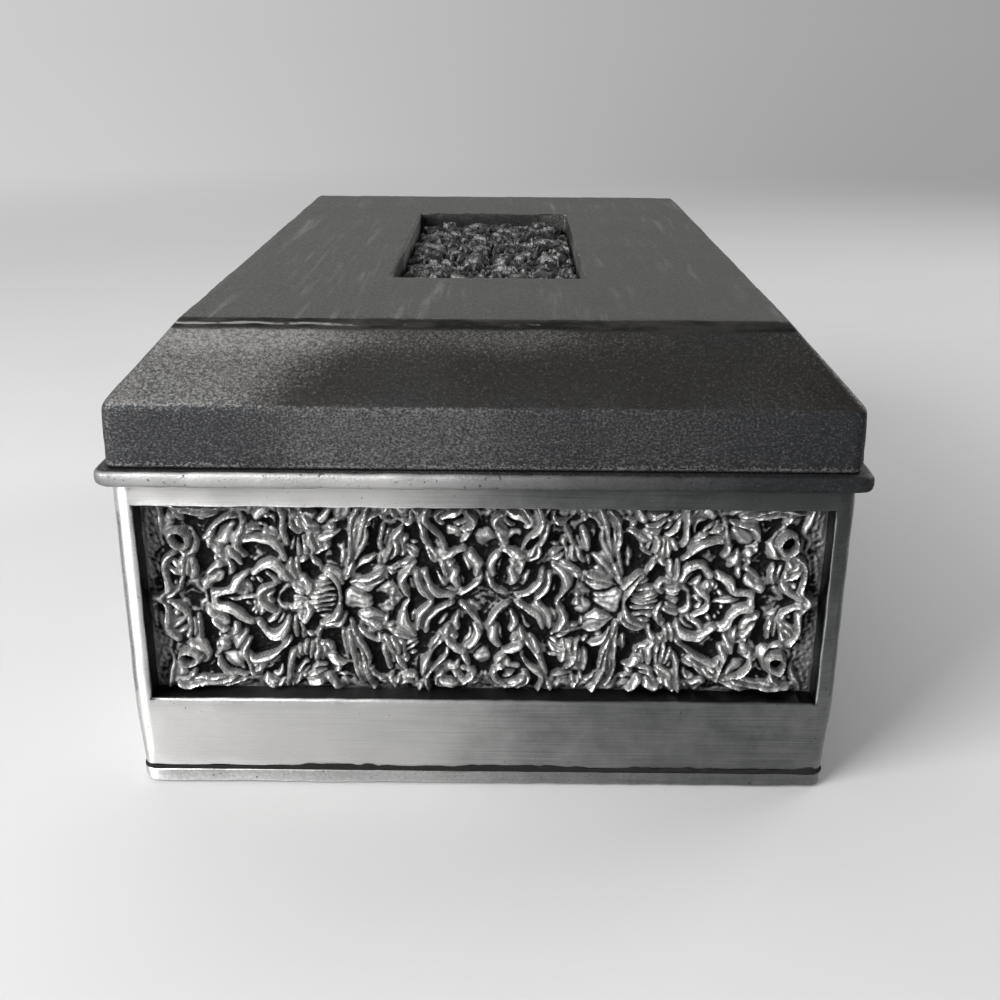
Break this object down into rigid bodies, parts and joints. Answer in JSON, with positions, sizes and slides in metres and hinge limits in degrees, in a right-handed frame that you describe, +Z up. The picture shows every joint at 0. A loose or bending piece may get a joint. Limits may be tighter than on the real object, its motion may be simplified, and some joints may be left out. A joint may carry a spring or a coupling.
{
  "type": "keepsake box",
  "caption": "Cast metal rosary box, bevelled lift-off lid with half-round moulding, relief panels seated in windows on all sides and the lid, lined inside.",
  "frame": {"origin": "centre of the underside of the felt that the box stands on", "axes": "+Z up; +Y along the length, away from the pictured short end; +X across the width"},
  "size_m": [0.0784, 0.116, 0.0509],
  "materials": {
    "satin_cast_metal": "brushed satin casting, bright",
    "dark_cast_metal": "oxidised grey casting, speckled",
    "patinated_relief": "polished crests over black patina",
    "dark_relief": "dull crests over black patina",
    "dark_filler": "matt joint filler",
    "velvet": "short pile",
    "felt": "pressed wool"
  },
  "bodies": {
    "box": {"body_frame": "satin_cast_metal", "base_plate": "satin_cast_metal", "seam_filler": "dark_filler", "base_felt": "felt", "front_relief": "patinated_relief", "back_relief": "patinated_relief", "left_relief": "patinated_relief", "right_relief": "patinated_relief", "front_lining": "velvet", "back_lining": "velvet", "left_lining": "velvet", "right_lining": "velvet", "floor_pad": "velvet"},
    "lid": {"lid_shell": "dark_cast_metal", "lid_relief": "dark_relief", "lid_lining": "velvet"}
  },
  "joints": [
    {"name": "lid_lift", "type": "slide", "parent": "box", "child": "lid", "axis": [0, 0, 1], "range_m": [0, 0.06]}
  ]
}
